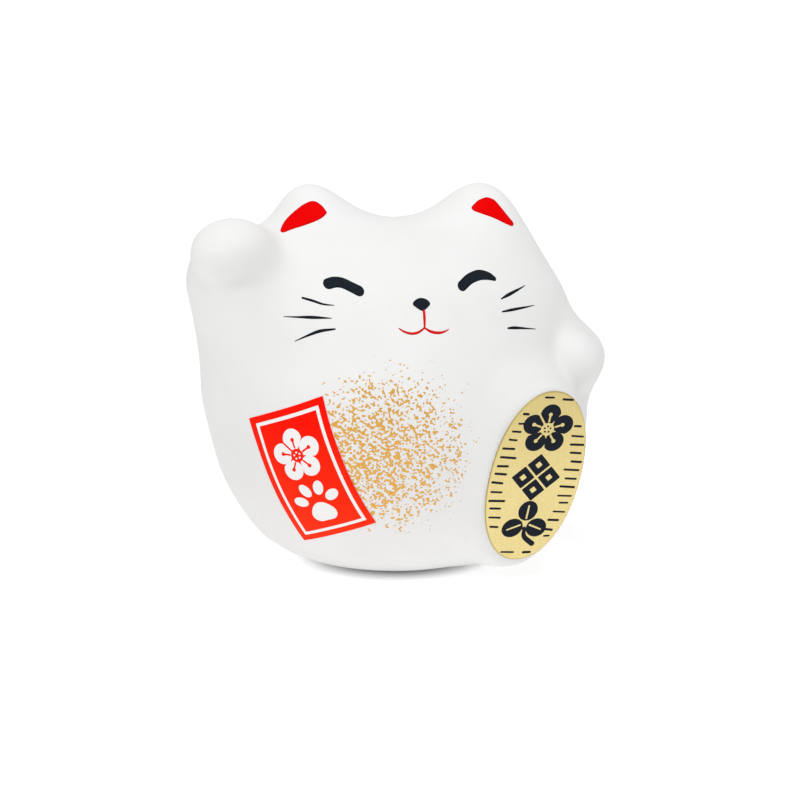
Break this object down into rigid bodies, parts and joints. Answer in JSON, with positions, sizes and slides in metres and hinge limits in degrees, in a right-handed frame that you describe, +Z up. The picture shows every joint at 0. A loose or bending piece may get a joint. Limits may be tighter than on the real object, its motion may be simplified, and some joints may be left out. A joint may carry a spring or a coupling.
{
  "type": "beckoning cat figurine",
  "caption": "Small rounded white ceramic cat with a raised paw, smiling painted face, gold-stippled belly, red label and an oval gold coin at its side.",
  "frame": {"origin": "on the surface the cat stands on, under the middle of its bounding box", "axes": "+Z up; the cat looks along -Y; +X is towards the cat's own left, the side of the resting paw and the coin"},
  "size_m": [0.0642, 0.0512, 0.0584],
  "materials": {
    "bisque": "fine matt unglazed white",
    "red_paint": "opaque satin paint film",
    "black_paint": "opaque satin blue-black paint film",
    "gold_paint": "metallic gold paint flecks",
    "label_white": "satin adhesive film",
    "label_red": "printed satin red",
    "coin_gold": "fine-grained gold foil",
    "coin_black": "printed matt black"
  },
  "bodies": {
    "root": {"cat_casting": "bisque", "right_ear_red": "red_paint", "left_ear_red": "red_paint", "right_eye_line": "black_paint", "left_eye_line": "black_paint", "nose_dab": "black_paint", "mouth_line": "red_paint", "right_whiskers": "black_paint", "left_whiskers": "black_paint", "belly_stippling": "gold_paint", "label_film": "label_white", "label_print": "label_red", "coin_foil": "coin_gold", "coin_print": "coin_black"}
  },
  "joints": []
}
